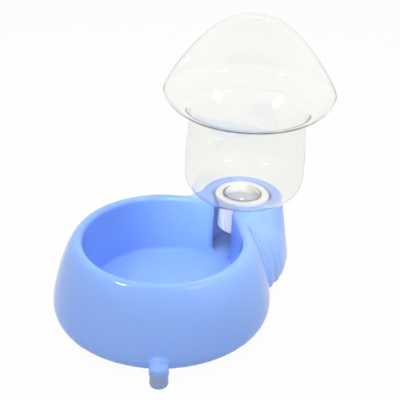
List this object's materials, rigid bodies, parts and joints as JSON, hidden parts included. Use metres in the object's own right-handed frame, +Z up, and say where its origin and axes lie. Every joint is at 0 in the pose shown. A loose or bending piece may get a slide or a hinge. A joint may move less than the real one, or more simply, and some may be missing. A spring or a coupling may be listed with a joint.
{
  "type": "pet water dispenser",
  "caption": "Gravity pet drinker: round bowl with a tower that carries an upside-down mushroom-shaped screw bottle and opens its cap valve.",
  "frame": {"origin": "on the floor under the middle of the whole object's bounding box", "axes": "+Z up, +Y from the bowl to the bottle's tower, +X to the right when seen from the bowl's side"},
  "size_m": [0.1797, 0.2518, 0.2167],
  "materials": {
    "blue_plastic": "glossy injection moulding",
    "blue_soft": "satin soft plastic",
    "clear_plastic": "clear blow moulding",
    "white_plastic": "semi-gloss injection moulding",
    "grey_plastic": "satin injection moulding",
    "seal_rubber": "matt silicone",
    "spring_steel": "drawn stainless wire"
  },
  "bodies": {
    "base": {"base": "blue_plastic", "front_foot": "blue_soft", "side_foot": "blue_soft", "rear_foot": "blue_soft"},
    "cap_unit": {"cap": "white_plastic", "valve_guide": "grey_plastic", "spring": "spring_steel"},
    "gasket": {"gasket": "seal_rubber"},
    "bottle": {"bottle": "clear_plastic"},
    "valve": {"plunger": "white_plastic", "washer": "seal_rubber"}
  },
  "joints": [
    {"name": "bottle_lift", "type": "slide", "parent": "base", "child": "cap_unit", "axis": [0, 0, 1], "range_m": [0, 0.06]},
    {"name": "bottle_turn", "type": "hinge", "parent": "cap_unit", "child": "gasket", "pos_m": [0.00386, 0.0572, 0.052], "axis": [0, 0, 1], "range_deg": [0, 630]},
    {"name": "bottle_rise", "type": "slide", "parent": "gasket", "child": "bottle", "axis": [0, 0, 1], "range_m": [0, 0.0074]},
    {"name": "valve_slide", "type": "slide", "parent": "cap_unit", "child": "valve", "axis": [0, 0, 1], "range_m": [-0.004, 0], "deforming": ["spring"]}
  ],
  "couplings": [
    {"joint": "bottle_rise", "follows": "bottle_turn", "m_per_rad": 0.00066845},
    {"joint": "valve_slide", "follows": "bottle_lift", "ratio": -0.066667}
  ]
}
